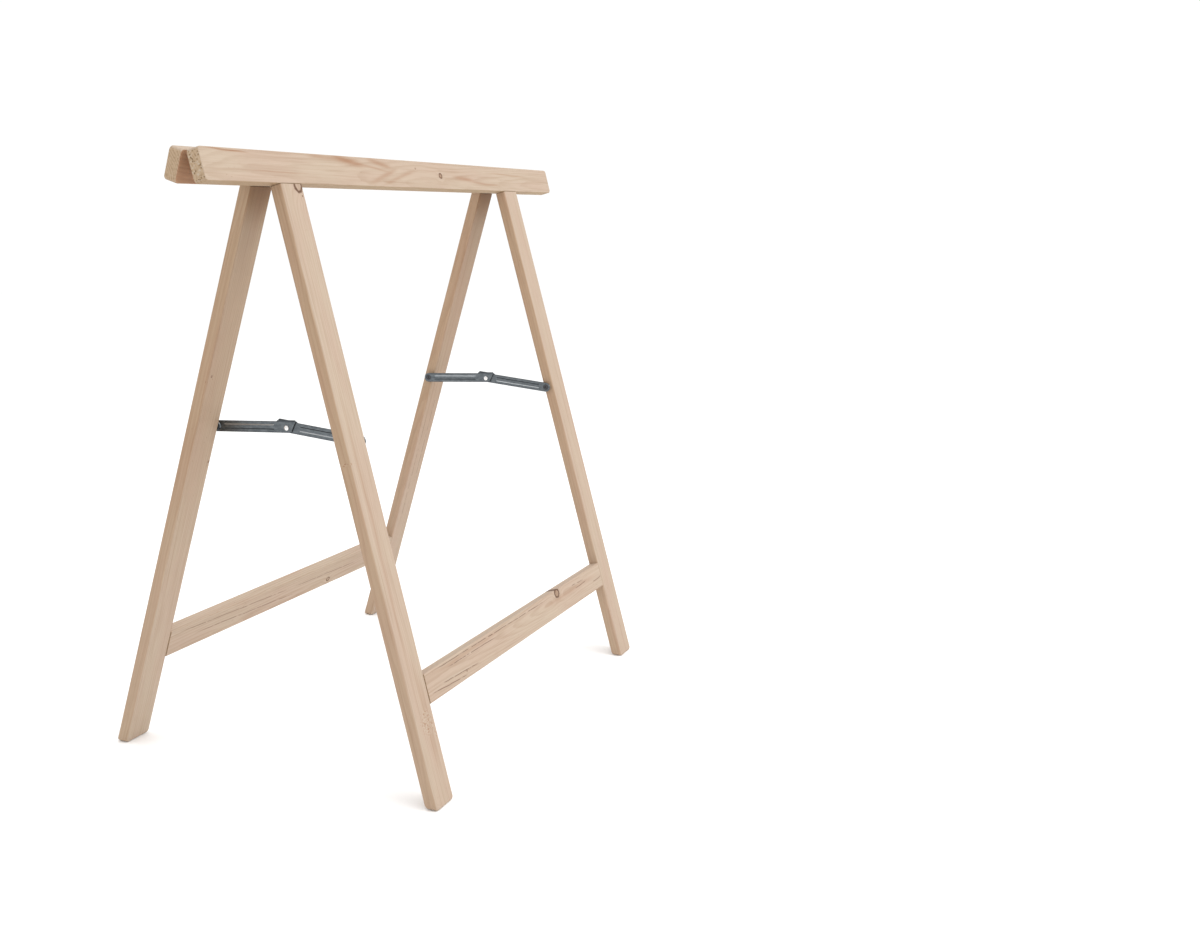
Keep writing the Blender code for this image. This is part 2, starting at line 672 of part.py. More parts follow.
def main():
    pivots = {side: frame_pivot(side) for side in (FRONT, BACK)}
    dowel = dowel_mesh()
    pin = hinge_pin_mesh()
    leaf_screw = screw_mesh("leaf_screw", LEAF_SCREW)
    pivot_screw = screw_mesh("pivot_screw", PIVOT_SCREW)
    rivet = rivet_mesh()
    for side in (FRONT, BACK):
        make_rail(side, pivots[side])
        make_stretcher(side, pivots[side])
        for end in (LEFT, RIGHT):
            make_leg(side, end, pivots[side])
            make_dowels(side, end, dowel, pivots[side])
    for end in (LEFT, RIGHT):
        make_hinge(end, pivots, pin, leaf_screw)
        make_stay(end, pivots, rivet, pivot_screw)


main()
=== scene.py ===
"""Finishes for a folding wooden sawhorse: sawn pine boards, pressed steel stays, hinges,
screws and a plain studio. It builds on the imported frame, in metres, with +Z up."""

import json
import math
from dataclasses import dataclass

import bmesh
import bpy
import numpy as np
from mathutils import Color, Matrix, Vector


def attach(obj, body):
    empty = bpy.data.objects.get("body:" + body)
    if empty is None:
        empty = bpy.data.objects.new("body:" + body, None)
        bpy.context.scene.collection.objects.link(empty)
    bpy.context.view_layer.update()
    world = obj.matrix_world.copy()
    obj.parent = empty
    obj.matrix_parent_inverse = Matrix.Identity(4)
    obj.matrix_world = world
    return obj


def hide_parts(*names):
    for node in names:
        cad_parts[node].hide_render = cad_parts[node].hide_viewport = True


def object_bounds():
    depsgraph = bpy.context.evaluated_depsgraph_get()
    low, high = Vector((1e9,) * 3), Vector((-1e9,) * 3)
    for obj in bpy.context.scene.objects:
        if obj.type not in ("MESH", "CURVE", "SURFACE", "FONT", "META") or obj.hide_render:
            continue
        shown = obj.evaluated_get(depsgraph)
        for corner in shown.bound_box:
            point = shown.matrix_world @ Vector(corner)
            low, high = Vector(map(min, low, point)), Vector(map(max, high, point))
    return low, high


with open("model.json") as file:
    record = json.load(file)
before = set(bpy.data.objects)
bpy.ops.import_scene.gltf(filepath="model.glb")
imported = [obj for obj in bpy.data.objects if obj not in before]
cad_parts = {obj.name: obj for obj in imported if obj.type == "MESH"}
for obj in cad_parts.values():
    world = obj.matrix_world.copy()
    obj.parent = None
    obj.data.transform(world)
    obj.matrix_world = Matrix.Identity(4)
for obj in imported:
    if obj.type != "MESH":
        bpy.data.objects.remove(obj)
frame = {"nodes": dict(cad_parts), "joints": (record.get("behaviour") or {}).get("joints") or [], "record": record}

bl_info = {
    "name": "Folding sawhorse",
    "version": (1, 0, 0),
    "blender": (4, 5, 0),
    "location": "3D View > Sidebar > Sawhorse",
    "description": "Boards, stays, hinges and screws of a folding wooden sawhorse",
    "category": "Object",
}

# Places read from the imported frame
CAD_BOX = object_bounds()
JOINTS = {joint["name"]: joint for joint in frame["joints"]}
LEAN = math.radians(JOINTS["fold"]["range_deg"][1]) / 2
SIDES = {"front": -1, "back": 1}
MM = 0.001
BUTT_END, FREE_END = "butt", "free"
FACE_MATCH = 0.94  # a triangle is part of a face if its normal is this close to it
MERGE_DISTANCE = 1e-6
SMOOTH_ANGLE = math.radians(40)
SHARP_ANGLE = math.radians(35)
FLAT_ANGLE = math.radians(0.4)
MIXED_COLOUR = 2  # the Mix node's colour result

BODIES = {
    node: body for body, nodes in frame["record"]["behaviour"]["bodies"].items() for node in nodes
}

CAMERA_PLACE = (-1.56767, -0.93433, 0.71090)
CAMERA_TURN = tuple(math.radians(angle) for angle in (78.36, -1.55, -67.79))
SENSOR_WIDTH = 36.0
FLOOR_GAP = 0.0004  # the floor lies this far below the feet
KEY_PLACE = (0.3, -3.0, 2.2)
TOP_PLACE = (0.4, 0.0, 3.4)

# Wood: heights are in metres and lengths along a board in millimetres
SHADE_HEIGHTS = (0.12, 0.50)  # painted shade on the boards' edges and inner faces is stronger above than below
TURNED_TO = (0.45, 0.9)  # how nearly a surface faces a way to take its tint of painted shade
CREVICE = (4, 60)  # the painted shadow on a leg's inner face under its rail fades in this stretch
ROUGH_END = (120, 200)  # the saw's roughness at the starting end fades in this stretch
FINE_SAW = 0.25  # how ragged a saw in good order leaves an end
KNOT_STRETCH = 1.15  # a knot is longer along the board than across it
SEED_STEPS = (97, 41, 23)  # how far a board's seed shifts its pattern, each way

# Steel: lengths are in millimetres, but for the depth of the plating's bumps
RIB_ZONE = (4.4, 5.0)  # where the rib of a link ends and its flat rim starts
RIM_ZONE = (6.1, 6.8)  # the rolled edge of the strip, from its middle line
HIGHLIGHT_STRETCH = (60, 150)  # a link's painted highlight grows in this stretch, from its pivot
SHOULDER = (0.12, 0.5)  # how nearly a slope of the rib faces upwards, for its painted highlight, or downwards, for its painted shade
PLATING = 0.00008


def frame_out(side):
    return Vector((0, SIDES[side] * math.cos(LEAN), math.sin(LEAN)))


def frame_down(side):
    return Vector((0, SIDES[side] * math.sin(LEAN), -math.cos(LEAN)))


# Shading: every expression on values below adds its nodes


class Value:
    """One output of a shader node. Arithmetic on it adds Math nodes."""

    def __init__(self, recipe, output):
        self.recipe = recipe
        self.output = output

    def math(self, operation, *others, clamp=False):
        settings = {"operation": operation, "use_clamp": clamp}
        return self.recipe.add("Math", settings, dict(enumerate((self, *others))))

    def __add__(self, other):
        return self.math("ADD", other)

    __radd__ = __add__

    def __mul__(self, other):
        return self.math("MULTIPLY", other)

    __rmul__ = __mul__

    def __sub__(self, other):
        return self.math("SUBTRACT", other)

    def __rsub__(self, other):
        return self * -1 + other

    def __truediv__(self, other):
        return self.math("DIVIDE", other)

    def __abs__(self):
        return self.math("ABSOLUTE")

    def fraction(self):
        return self.math("FRACT")

    def root(self):
        return self.math("SQRT")

    def exponential(self):
        return self.math("EXPONENT")

    def clamped(self):
        return self.math("ADD", 0.0, clamp=True)

    def at_least(self, other):
        return self.math("MAXIMUM", other)

    def rise(self, low, high):
        """0 below low and 1 above high, with a soft step between them."""
        settings = {"interpolation_type": "SMOOTHSTEP"}
        sockets = {"Value": self, "From Min": low, "From Max": high}
        return self.recipe.add("MapRange", settings, sockets)


class Recipe:
    """The nodes of a material, or of a world, built up one by one."""

    def __init__(self, owner, shader):
        self.owner = owner
        self.owner.use_nodes = True
        self.tree = owner.node_tree
        self.shader = self.tree.nodes[shader]

    def feed(self, socket, value):
        if isinstance(value, Value):
            self.tree.links.new(value.output, socket)
        elif isinstance(value, Color):
            socket.default_value = (*value, 1.0)
        else:
            socket.default_value = value

    def add(self, kind, settings=None, sockets=None, output=0):
        """A new node: its settings first, then the values or links of its sockets."""
        node = self.tree.nodes.new(f"ShaderNode{kind}")
        for name, value in (settings or {}).items():
            setattr(node, name, value)
        for name, value in (sockets or {}).items():
            self.feed(node.inputs[name], value)
        return Value(self, node.outputs[output])

    def place(self):
        return self.add("TexCoord", None, None, "Object")

    def in_millimetres(self, origin, along, across, through):
        """The place on a piece's own axes, in millimetres from its origin."""
        turn = Matrix((along, across, through)).transposed().to_euler()
        sockets = {"Vector": self.place(), "Location": origin, "Rotation": turn}
        sockets["Scale"] = (MM, MM, MM)
        return self.add("Mapping", {"vector_type": "TEXTURE"}, sockets)

    def facing(self, way):
        """How nearly the surface faces this way: 1 if it does, and -1 if it faces away."""
        normal = self.add("TexCoord", None, None, "Normal")
        settings = {"operation": "DOT_PRODUCT"}
        return self.add("VectorMath", settings, {0: normal, 1: way}, "Value")

    def mix(self, factor, first, second):
        """A colour that goes from first to second."""
        settings = {"data_type": "RGBA", "clamp_factor": True}
        return self.add("Mix", settings, {0: factor, 6: first, 7: second}, MIXED_COLOUR)

    def tint(self, colour, by, amount=1.0):
        """A colour multiplied by another."""
        settings = {"data_type": "RGBA", "blend_type": "MULTIPLY", "clamp_factor": True}
        return self.add("Mix", settings, {0: amount, 6: colour, 7: by}, MIXED_COLOUR)

    def stretch(self, point, factors):
        return self.add("VectorMath", {"operation": "MULTIPLY"}, {0: point, 1: factors})

    def shift(self, point, offset):
        return self.add("VectorMath", {"operation": "ADD"}, {0: point, 1: offset})

    def noise(self, point, scale, detail=2.0, roughness=0.5):
        sockets = {"Vector": point, "Scale": scale, "Detail": detail, "Roughness": roughness}
        return self.add("TexNoise", None, sockets)

    def cells(self, point):
        return self.add("TexVoronoi", None, {"Vector": point, "Scale": 1.0})

    def parts_of(self, vector):
        split = self.add("SeparateXYZ", None, {0: vector})
        return [Value(self, output) for output in split.output.node.outputs]

    def bump(self, height, strength, distance):
        sockets = {"Height": height, "Strength": strength, "Distance": distance}
        return self.add("Bump", None, sockets)

    def set_plain(self, name, value):
        """A socket of the shader that is the same all over."""
        self.feed(self.shader.inputs[name], value)

    def finish(self, colour, roughness, normal=None):
        self.feed(self.shader.inputs["Base Color"], colour)
        self.feed(self.shader.inputs["Roughness"], roughness)
        if normal:
            self.feed(self.shader.inputs["Normal"], normal)
        return self.owner


def material_recipe(name):
    return Recipe(bpy.data.materials.new(name), "Principled BSDF")


# Boards


@dataclass
class Grain:
    """How a board was cut from its trunk. Lengths are in millimetres, in the board's own
    directions: along from its start, across and through from its middle line."""

    pith: tuple  # across and through, from the board's middle to the middle of the trunk
    lean: tuple  # how far the trunk's middle runs off, to one millimetre along
    ring: float = 2.6
    contrast: float = 0.55
    tone: float = 0.5  # 0 is yellowish and 1 is pinkish
    knots: tuple = ()  # (along, across, radius, how dark inside)
    streaks: tuple = ()  # (along, across, half length, half width, how dark, slope)
    cracks: tuple = ()  # (along, across, half length, slope)
    chips: tuple = ()  # (along, across, half length, half width) of torn patches
    rough_start: float = FINE_SAW  # how ragged the saw left the starting end
    seed: float = 0.0


@dataclass
class Board:
    node: str
    side: str
    along: Vector
    across: Vector
    ends: tuple
    grain: Grain

    def __post_init__(self):
        out = frame_out(self.side)
        faces = [(-self.along, self.along), (-self.across, self.across), (-out, out)]
        planes = [[face_plane(self.node, way) for way in pair] for pair in faces]
        self.corners = {}
        for i in (0, 1):
            for j in (0, 1):
                for k in (0, 1):
                    meeting = (planes[0][i], planes[1][j], planes[2][k])
                    self.corners[i, j, k] = meeting_point(meeting)
        self.origin = self.middle_of(0)
        self.along = (self.middle_of(1) - self.origin).normalized()
        self.through = self.along.cross(self.across).normalized()
        self.across = self.through.cross(self.along).normalized()

    def middle_of(self, end):
        points = [point for (i, _, _), point in self.corners.items() if i == end]
        return sum(points, Vector()) / len(points)


def triangles_of(node):
    """(corners, unit normals, areas) of a CAD node's triangles."""
    mesh = frame["nodes"][node].data
    mesh.calc_loop_triangles()
    points = np.array([vertex.co for vertex in mesh.vertices])
    corners = points[np.array([triangle.vertices for triangle in mesh.loop_triangles])]
    crossed = np.cross(corners[:, 1] - corners[:, 0], corners[:, 2] - corners[:, 0])
    lengths = np.linalg.norm(crossed, axis=1)
    return corners, crossed / np.maximum(lengths, 1e-12)[:, None], lengths / 2


def face_plane(node, way):
    """(normal, distance from the origin) of the largest flat of a CAD node that looks this way."""
    corners, normals, areas = triangles_of(node)
    facing = normals @ np.array(way) > FACE_MATCH
    best = int(np.argmax(areas * facing))
    return normals[best], float(normals[best] @ corners[best, 0])


def meeting_point(planes):
    normals = np.array([normal for normal, _ in planes])
    return Vector(np.linalg.solve(normals, [distance for _, distance in planes]))


RAIL_GRAIN = Grain(
    pith=(6, 31),
    lean=(0.004, -0.034),
    ring=3.4,
    contrast=0.42,
    tone=0.45,
    knots=((508.4, 0, 3.6, 0.95), (443, -8, 1.0, 0.8)),
    streaks=(
        (47, -15.8, 32, 0.9, 0.85, 0.04),
        (132, 6.5, 44, 0.8, 0.35, 0.02),
        (228, -14.5, 30, 2.6, 0.5, 0.03),
        (278, -12.5, 32, 4.6, 0.75, 0.14),
        (352, -12, 26, 3.6, 0.55, 0.14),
        (357, 4.5, 34, 3.2, 0.45, -0.3),
        (396, 5, 42, 2.6, 0.36, -0.24),
        (330, -6, 46, 1.6, 0.4, 0.1),
        (575, 3, 28, 3.0, 0.55, 0.05),
        (645, 9, 40, 1.5, 0.45, 0.05),
        (720, -6, 60, 1.2, 0.35, 0.02),
    ),
    rough_start=1.0,
    seed=3.1,
)
GRAINS = {
    "front_top_rail": RAIL_GRAIN,
    "back_top_rail": Grain((22, 24), (0.01, 0.012), 3.0, 0.6, 0.6, seed=7.7),
    "front_left_leg": Grain(
        (38, -30),
        (0.004, 0.006),
        contrast=0.4,
        knots=((1.5, 11.3, 7.2, 0.3), (14, 15.5, 1.0, 0.8)),
        chips=((648, 4, 18, 15), (666, 18, 5, 5), (328, -20.5, 2.2, 3.4)),
        streaks=((420, -6, 160, 2.6, 0.3, 0.0), (640, 4, 60, 5, 0.25, 0.0)),
        tone=0.55,
        seed=11.3,
    ),
    "front_right_leg": Grain((-52, 20), (0.01, -0.004), contrast=0.4, tone=0.7, seed=15.9),
    "back_left_leg": Grain(
        (30, 26),
        (-0.006, 0.008),
        contrast=0.4,
        tone=0.45,
        knots=((234, -14.5, 1.2, 0.8), (351, 16.8, 1.2, 0.8)),
        seed=19.2,
    ),
    "back_right_leg": Grain(
        (64, -14),
        (0.006, 0.01),
        2.2,
        contrast=0.45,
        tone=0.75,
        cracks=((420, 6, 90, 0.01), (470, -8, 110, 0.012)),
        seed=23.8,
    ),
    "front_stretcher": Grain(
        (-9, -28),
        (0.006, 0.022),
        3.0,
        0.55,
        0.55,
        knots=((387, -13, 6.4, 0.8), (96, 9, 1.1, 0.7)),
        cracks=(
            (116, -14.6, 96, 0.012),
            (250, -13.4, 100, 0.008),
            (120, -8.5, 70, 0.012),
            (52, 11.5, 46, 0.06),
            (78, 6.8, 54, 0.05),
            (471, -4, 22, -0.03),
            (458, -9.5, 26, 0.03),
            (532, 3, 18, -0.02),
        ),
        streaks=((430, -4, 90, 3.0, 0.3, 0.0), (120, -12, 100, 2.2, 0.3, 0.0)),
        seed=29.4,
    ),
    "back_stretcher": Grain(
        (16, -36),
        (0.004, 0.016),
        2.8,
        0.55,
        0.6,
        knots=((369, 9.5, 3.6, 0.5),),
        cracks=((140, -8, 130, 0.03), (165, 4, 120, 0.035), (360, -3, 90, 0.02)),
        seed=31.7,
    ),
}


def board_of(node):
    side = node.split("_")[0]
    if node.endswith("leg"):
        ends = (BUTT_END, FREE_END)
        return Board(node, side, frame_down(side), Vector((1, 0, 0)), ends, GRAINS[node])
    kind = FREE_END if node.endswith("rail") else BUTT_END
    return Board(node, side, Vector((1, 0, 0)), frame_down(side), (kind, kind), GRAINS[node])


def deselect_all():
    bpy.ops.object.select_all(action="DESELECT")


def cleared_mesh(piece):
    """The mesh of a piece in edit mode, with nothing selected."""
    mesh = bmesh.from_edit_mesh(piece.data)
    for part in (*mesh.faces, *mesh.edges, *mesh.verts):
        part.select_set(False)
    return mesh


def pick_vertices(piece, test):
    """Selects the vertices of the piece in edit mode whose place passes the test."""
    mesh = cleared_mesh(piece)
    for vertex in mesh.verts:
        vertex.select_set(test(vertex.co))
    mesh.select_flush(True)
    bmesh.update_edit_mesh(piece.data)


def pick_edges(piece, test):
    """Selects the edges of the piece in edit mode that pass the test."""
    mesh = cleared_mesh(piece)
    for edge in mesh.edges:
        if test(edge):
            edge.select_set(True)
    bmesh.update_edit_mesh(piece.data)


def edit(mode):
    bpy.ops.object.mode_set(mode="EDIT")
    bpy.ops.mesh.select_mode(type=mode)


def leave_edit():
    bpy.ops.object.mode_set(mode="OBJECT")


def make_board(board, settings):
    """A sawn board: a cube pulled to its corners, then every edge eased."""
    deselect_all()
    bpy.ops.mesh.primitive_cube_add(size=1)
    piece = bpy.context.object
    piece.name = f"{board.node}_board"
    piece.data.name = piece.name
    pull_to_corners(piece, board)
    ease_edges(piece, board, settings)
    finish_shading(piece)
    return piece


def pull_to_corners(piece, board):
    edit("VERT")
    for (i, j, k), target in board.corners.items():
        start = Vector((i - 0.5, j - 0.5, k - 0.5))
        pick_vertices(piece, lambda place, start=start: (place - start).length < MERGE_DISTANCE)
        bpy.ops.transform.translate(value=target - start)
    leave_edit()


def ease_edges(piece, board, settings):
    """Rounds the free corners first, then the long edges, then the ends that butt."""
    middles = [board.middle_of(end) for end in (0, 1)]

    def end_of(point):
        return 0 if (point - middles[0]).length < (point - middles[1]).length else 1

    def free(edge):
        return all(board.ends[end_of(vertex.co)] == FREE_END for vertex in edge.verts)

    def ridge(edge):
        return edge.calc_face_angle(0) > SHARP_ANGLE

    def across_thickness(edge):
        way = (edge.verts[1].co - edge.verts[0].co).normalized()
        return abs(way.dot(frame_out(board.side))) > FACE_MATCH

    def butt(edge):
        same = end_of(edge.verts[0].co) == end_of(edge.verts[1].co)
        return same and not free(edge)

    is_leg = board.node.endswith("leg")
    long_radius = settings.leg_edge_radius if is_leg else settings.edge_radius
    edit("EDGE")
    pick_edges(piece, lambda edge: free(edge) and across_thickness(edge))
    bpy.ops.mesh.bevel(offset=settings.corner_radius, segments=5)
    pick_edges(piece, lambda edge: ridge(edge) and not butt(edge))
    bpy.ops.mesh.bevel(offset=long_radius, segments=4)
    pick_edges(piece, lambda edge: ridge(edge) and butt(edge))
    bpy.ops.mesh.bevel(offset=settings.butt_easing, segments=2)
    leave_edit()


class Pine(Recipe):
    """Sawn pine, laid on layer by layer. It works in the board's own millimetres: along it
    from its start, and across and through it from its middle line."""

    def __init__(self, board, settings):
        super().__init__(bpy.data.materials.new(f"{board.node}_pine"), "Principled BSDF")
        self.board = board
        self.grain = board.grain
        self.settings = settings
        local = self.in_millimetres(board.origin, board.along, board.across, board.through)
        self.along, self.across, self.through = self.parts_of(local)
        seed = self.grain.seed
        self.own = self.shift(local, tuple(seed * step for step in SEED_STEPS))
        self.fibre = self.wave((22, 0.55, 0.55), 2.0, 0.7)
        self.late = self.late_wood()
        self.colour = self.streaked_colour()
        self.height = self.late * 0.5 + self.fibre * 0.35 + self.wave((5, 60, 60), 2.0) * 0.25

    def wave(self, lengths, detail=2.0, roughness=0.5):
        """Noise from 0 to 1 whose patches are about this long, in millimetres."""
        factors = tuple(1 / length for length in lengths)
        return self.noise(self.stretch(self.own, factors), 1.0, detail, roughness)

    def oval(self, along, across, long, wide):
        """Distance from a point of the board's face, to the size of an oval round it."""
        run = (self.along - along) / long
        rise = (self.across - across) / wide
        return (run * run + rise * rise).root()

    def knot_oval(self, along, across, radius):
        ragged_edge = (self.wave((5, 4, 4), 2.0) - 0.5) * 0.55
        return self.oval(along, across, radius * KNOT_STRETCH, radius) + ragged_edge

    def paint(self, mask, colour):
        self.colour = self.mix(mask, self.colour, colour)

    def late_wood(self):
        """The dense part of each yearly ring, bent out round the knots."""
        grain = self.grain
        sway = (self.wave((260, 60, 60), 1.0) - 0.5) * 16
        ripple = (self.wave((70, 11, 11), 3.0, 0.6) - 0.5) * 2.4
        sideways = self.across - self.along * grain.lean[0] - grain.pith[0]
        deep = self.through - self.along * grain.lean[1] - grain.pith[1]
        trunk = (sideways * sideways + deep * deep).root() + sway + ripple
        for along, across, radius, _ in grain.knots:
            oval = self.knot_oval(along, across, radius)
            trunk = trunk + (oval * oval * -0.22).exponential() * (radius * 0.9)
        year = (trunk / grain.ring).fraction()
        late = year.rise(0.30, 0.86) * (1 - year.rise(0.90, 1.0))
        strength = self.wave((400, 7, 7), 1.0).rise(0.25, 0.75) * 0.65 + 0.35
        return late * strength * grain.contrast

    def streaked_colour(self):
        """Pale wood with its rings and with long streaks of denser and paler wood."""
        settings = self.settings
        pinkness = self.wave((120, 22, 22), 2.0).rise(0.3, 0.72) * 0.75
        pinkness = (pinkness + (self.grain.tone - 0.5) * 0.7).clamped()
        colour = self.mix(pinkness, settings.early_wood, settings.pinkish_wood)
        colour = self.mix(self.late * 0.62, colour, settings.late_wood)
        streak = self.wave((150, 3.2, 3.2), 2.0).rise(0.54, 0.74) * 0.34
        fine_streak = self.wave((75, 1.1, 1.1), 2.0).rise(0.5, 0.76) * 0.30
        colour = self.mix(streak.at_least(fine_streak), colour, settings.late_wood)
        pale = self.wave((200, 5, 5), 2.0).rise(0.58, 0.78) * 0.30
        return self.mix(pale, colour, settings.pale_wood)

    def add_stains(self):
        for along, across, long, wide, dark, slope in self.grain.streaks:
            wander = (self.wave((60, 40, 40), 1.0) - 0.5) * 5
            from_middle = self.along - along
            run = from_middle / long
            rise = (self.across - across - from_middle * slope + wander) / wide
            stain = (run * run * run * run * -1 - rise * rise).exponential() * dark
            self.paint(stain * (self.wave((30, 1.6, 1.6)) * 0.9 + 0.55), self.settings.resin)

    def add_fibres_and_dirt(self):
        self.colour = self.tint(self.colour, 0.90 + self.fibre * 0.2)
        darkening = self.wave((38, 17, 17), 4.0, 0.65).rise(0.6, 0.85) * 0.16
        self.paint(darkening, self.settings.resin)
        pores = self.cells(self.stretch(self.own, (1 / 14, 1 / 5, 1 / 5)))
        pin_dots = (1 - pores.rise(0.045, 0.10)) * self.wave((90, 60, 60)).rise(0.5, 0.6)
        self.paint(pin_dots * 0.55, self.settings.knot_wood)

    def add_knots(self):
        inner_rings = (self.wave((2.2, 1.6, 1.6)) * 0.7 + 0.3).clamped()
        for along, across, radius, darkness in self.grain.knots:
            oval = self.knot_oval(along, across, radius)
            core = (1 - oval.rise(0.72, 1.0)) * darkness
            rim = oval.rise(0.58, 0.84) * (1 - oval.rise(1.0, 1.26))
            rim = rim * min(1.0, darkness + 0.85)
            self.paint(core * inner_rings, self.settings.knot_wood)
            self.paint(rim * 0.95, self.settings.knot_rim)
            self.height = self.height - rim * 1.2 + core * 0.5

    def add_chips(self):
        """Torn patches, paler than the wood round them and full of crumbs."""
        for along, across, long, wide in self.grain.chips:
            ragged_edge = (self.wave((4, 3, 3), 3.0) - 0.5) * 1.3
            torn = 1 - (self.oval(along, across, long, wide) + ragged_edge).rise(0.6, 0.95)
            crumbs = self.wave((1.7, 1.7, 1.7), 2.0).rise(0.46, 0.62) * torn
            self.paint(torn * 0.4, self.settings.pale_wood)
            self.paint(crumbs * 0.7, self.settings.resin)
            self.height = self.height - crumbs * 3.0

    def add_cracks(self):
        for along, across, long, slope in self.grain.cracks:
            wander = (self.wave((26, 200, 200), 2.0) - 0.5) * 2.4
            from_middle = self.along - along
            off = abs(self.across - across - from_middle * slope + wander)
            crack = (1 - off.rise(0.12, 0.75)) * (1 - abs(from_middle / long).rise(0.7, 1.0))
            crack = crack * self.wave((9, 9, 9)).rise(0.32, 0.5)
            self.paint(crack * 0.8, self.settings.knot_rim)
            self.height = self.height - crack * 2.0

    def shade_faces(self):
        """Painted shade: the sawn edges and the inner faces are darker than the planed outer face, more so higher
        up, and a leg's inner face is darkest close under its rail.
        """
        settings = self.settings
        edgeways = self.facing(self.board.across)
        inwards = self.facing(-frame_out(self.board.side)).rise(*TURNED_TO)
        shade_above = self.parts_of(self.place())[2].rise(*SHADE_HEIGHTS)
        if self.board.node.endswith("leg"):
            # painted shade on the legs' side faces, stronger higher up
            edge = abs(edgeways).rise(*TURNED_TO) * (shade_above * 0.35 + 0.65)
            self.colour = self.tint(self.colour, settings.edge_shade, edge)
            # painted shadow on a leg's inner face close under its rail
            crevice = (1 - self.along.rise(*CREVICE)) * inwards
            self.colour = self.tint(self.colour, settings.crevice_shade, crevice)
        else:
            # painted shade on the lower edges of the rails and stretchers
            under = edgeways.rise(*TURNED_TO)
            self.colour = self.tint(self.colour, settings.under_shade, under)
        # painted shade on the inner faces, stronger higher up and strongest on the rails
        is_rail = self.board.node.endswith("rail")
        inner_shade = settings.rail_shade if is_rail else settings.inner_shade
        self.colour = self.tint(self.colour, inner_shade, inwards * shade_above)

    def add_sawn_ends(self):
        """End grain: close rings, pits that the saw tore, and pale curls of fibre."""
        settings = self.settings
        end_grain = abs(self.facing(self.board.along)).rise(0.72, 0.92)
        ragged = 1 - self.along.rise(*ROUGH_END)
        ragged = ragged * (self.grain.rough_start - FINE_SAW) + FINE_SAW
        fuzz = self.cells(self.stretch(self.own, (0.32, 0.36, 0.36)))
        curls = self.noise(self.stretch(self.own, (0.36, 0.42, 0.30)), 1.0, 3.0, 0.7)
        pits = (1 - fuzz.rise(0.2, 0.5)) * curls.rise(0.36, 0.56)
        splinters = curls.rise(0.5, 0.62) * fuzz.rise(0.3, 0.55) * ragged * 0.8
        colour = self.mix(self.late * 0.9 + 0.12, settings.end_grain, settings.late_wood)
        colour = self.mix((pits * ragged * 1.5).clamped(), colour, settings.end_pits)
        self.paint(end_grain, self.mix(splinters, colour, settings.pale_wood))
        height = curls * ragged * 3.0 - pits * ragged * 3.0 + self.late * 0.8
        self.height = self.height * (1 - end_grain) + height * end_grain
        return end_grain

    def finished(self, end_grain):
        roughness = self.fibre * 0.14 + 0.58 + end_grain * 0.2 - self.late * 0.08
        self.set_plain("Specular IOR Level", 0.32)
        return self.finish(self.colour, roughness, self.bump(self.height, 0.35, 0.0003))


def pine(board, settings):
    """The pine of one board, with its own knots, stains, cracks and chips."""
    wood = Pine(board, settings)
    wood.add_stains()
    wood.add_fibres_and_dirt()
    wood.add_knots()
    wood.add_chips()
    wood.add_cracks()
    wood.shade_faces()
    end_grain = wood.add_sawn_ends()
    return wood.finished(end_grain)


# Small parts


@dataclass
class Steel:
    colour: Color
    shade: Color
    roughness: float
    mottle: float  # size of the patches of its plating, in millimetres
    bump: float


def steel(name, finish, scratch_way="x"):
    """Plated steel with uneven patches, fine drawing lines and a little dirt."""
    recipe = material_recipe(name)
    point = recipe.stretch(recipe.place(), (1 / MM,) * 3)
    patches = recipe.noise(recipe.stretch(point, (1 / finish.mottle,) * 3), 1.0, 3.0, 0.6)
    specks = recipe.cells(recipe.stretch(point, (0.9,) * 3))
    lengthways = tuple(0.05 if scratch_way == axis else 2.6 for axis in "xyz")
    drawn = recipe.noise(recipe.stretch(point, lengthways), 1.0, 2.0, 0.6)
    colour = recipe.mix(patches.rise(0.3, 0.7), finish.colour, finish.shade)
    colour = recipe.tint(colour, 0.86 + drawn * 0.28)
    dots = (1 - specks.rise(0.05, 0.2)) * patches.rise(0.45, 0.6) * 0.5
    colour = recipe.mix(dots, colour, finish.shade * 0.45)
    roughness = (patches - 0.5) * 0.22 + finish.roughness + dots * 0.3
    height = drawn * 0.5 + patches * 0.4 - dots
    recipe.set_plain("Metallic", 1.0)
    return recipe.finish(colour, roughness, recipe.bump(height, finish.bump, PLATING))


def link_frame(node):
    """(pivot, along, across) of a stay's link: where it turns, to its rivet, and upwards."""
    pivot = Vector(JOINTS[f"{BODIES[node]}_pivot"]["pos_m"])
    across = Vector(face_plane(node, (0, 0, 1))[0])
    along = across.cross(Vector((1, 0, 0)))
    middle = Vector(triangles_of(node)[0].mean(axis=(0, 1)))
    if along.dot(middle - pivot) < 0:
        along.negate()
    return pivot, along, across


